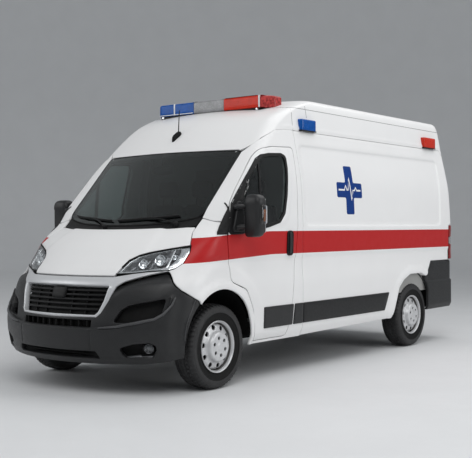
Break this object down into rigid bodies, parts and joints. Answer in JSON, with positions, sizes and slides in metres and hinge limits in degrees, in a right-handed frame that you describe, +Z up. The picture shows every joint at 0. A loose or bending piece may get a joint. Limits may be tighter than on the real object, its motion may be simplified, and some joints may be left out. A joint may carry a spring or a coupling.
{
  "type": "ambulance",
  "caption": "High-roof panel-van ambulance with steered front wheels, hinged cab doors, twin rear doors, a hood and roof warning lamps.",
  "frame": {"origin": "on the ground, under the middle of the bounding box", "axes": "+X to the left side of the vehicle, +Y to its tail, +Z up"},
  "size_m": [2.51, 5.4159, 2.56],
  "materials": {
    "paint": "satin off-white paint",
    "trim": "grained dark grey plastic",
    "grille_black": "satin black plastic",
    "silver": "silver paint",
    "glass": "tinted glass",
    "lamp_clear": "clear lens",
    "lens_blue": "blue lens",
    "lens_red": "red lens",
    "lens_grey": "clear lens over grey reflectors",
    "steel": "silver painted steel",
    "chassis": "black chassis paint",
    "tyre": "black rubber",
    "seat": "dark cloth",
    "lining": "grey lining"
  },
  "bodies": {
    "body": {"aerial": "trim", "body_side_left": "paint", "body_side_right": "paint", "bulkhead": "lining", "cab_sides": "paint", "chassis_rails": "chassis", "cowl": "trim", "dashboard": "trim", "engine_block": "chassis", "exhaust": "chassis", "fenders": "paint", "firewall": "lining", "floor": "lining", "front_bumper": "trim", "front_lamps": "lamp_clear", "front_subframe": "chassis", "fuel_tank": "chassis", "grille": "grille_black", "grille_frame": "silver", "lightbar_base": "trim", "lightbar_blue": "lens_blue", "lightbar_clear": "lens_grey", "lightbar_red": "lens_red", "radiator": "chassis", "rear_axle": "chassis", "rear_bumper": "trim", "roof": "paint", "seats": "seat", "side_beacons_blue": "lens_blue", "side_beacons_red": "lens_red", "sliding_side_door": "paint", "steering_wheel": "trim", "tail_lamps": "lens_red", "wheel_houses": "trim", "windshield": "glass"},
    "knuckle_left": {"knuckle_left": "chassis"},
    "knuckle_right": {"knuckle_right": "chassis"},
    "wheel_front_left": {"rim_front_left": "steel", "tyre_front_left": "tyre"},
    "wheel_front_right": {"rim_front_right": "steel", "tyre_front_right": "tyre"},
    "wheel_rear_left": {"rim_rear_left": "steel", "tyre_rear_left": "tyre"},
    "wheel_rear_right": {"rim_rear_right": "steel", "tyre_rear_right": "tyre"},
    "front_door_left": {"front_door_left": "paint", "front_door_glass_left": "glass", "mirror_left": "trim"},
    "front_door_right": {"front_door_right": "paint", "front_door_glass_right": "glass", "mirror_right": "trim"},
    "rear_door_left": {"rear_door_left": "paint", "rear_door_glass_left": "glass"},
    "rear_door_right": {"rear_door_right": "paint", "rear_door_glass_right": "glass"},
    "hood": {"hood": "paint"}
  },
  "joints": [
    {"name": "steer_left", "type": "hinge", "parent": "body", "child": "knuckle_left", "pos_m": [0.828, -1.7585, 0.349], "axis": [0, 0, 1], "range_deg": [-35, 35]},
    {"name": "steer_right", "type": "hinge", "parent": "body", "child": "knuckle_right", "pos_m": [-0.828, -1.7585, 0.349], "axis": [0, 0, 1], "range_deg": [-35, 35]},
    {"name": "wheel_front_left_spin", "type": "hinge", "parent": "knuckle_left", "child": "wheel_front_left", "pos_m": [0.888, -1.7585, 0.349], "axis": [1, 0, 0], "continuous": true},
    {"name": "wheel_front_right_spin", "type": "hinge", "parent": "knuckle_right", "child": "wheel_front_right", "pos_m": [-0.888, -1.7585, 0.349], "axis": [1, 0, 0], "continuous": true},
    {"name": "wheel_rear_left_spin", "type": "hinge", "parent": "body", "child": "wheel_rear_left", "pos_m": [0.88, 1.6915, 0.349], "axis": [1, 0, 0], "continuous": true},
    {"name": "wheel_rear_right_spin", "type": "hinge", "parent": "body", "child": "wheel_rear_right", "pos_m": [-0.88, 1.6915, 0.349], "axis": [1, 0, 0], "continuous": true},
    {"name": "front_door_left_hinge", "type": "hinge", "parent": "body", "child": "front_door_left", "pos_m": [1.021, -1.655, 1], "axis": [0, 0, -1], "range_deg": [0, 65]},
    {"name": "front_door_right_hinge", "type": "hinge", "parent": "body", "child": "front_door_right", "pos_m": [-1.021, -1.655, 1], "axis": [0, 0, 1], "range_deg": [0, 65]},
    {"name": "rear_door_left_hinge", "type": "hinge", "parent": "body", "child": "rear_door_left", "pos_m": [0.89, 2.6625, 1.2], "axis": [0, 0, -1], "range_deg": [0, 90]},
    {"name": "rear_door_right_hinge", "type": "hinge", "parent": "body", "child": "rear_door_right", "pos_m": [-0.89, 2.6625, 1.2], "axis": [0, 0, 1], "range_deg": [0, 90]},
    {"name": "hood_hinge", "type": "hinge", "parent": "body", "child": "hood", "pos_m": [0, -1.76, 1.345], "axis": [-1, 0, 0], "range_deg": [0, 50]}
  ],
  "couplings": [
    {"joint": "steer_right", "follows": "steer_left", "ratio": 1}
  ]
}
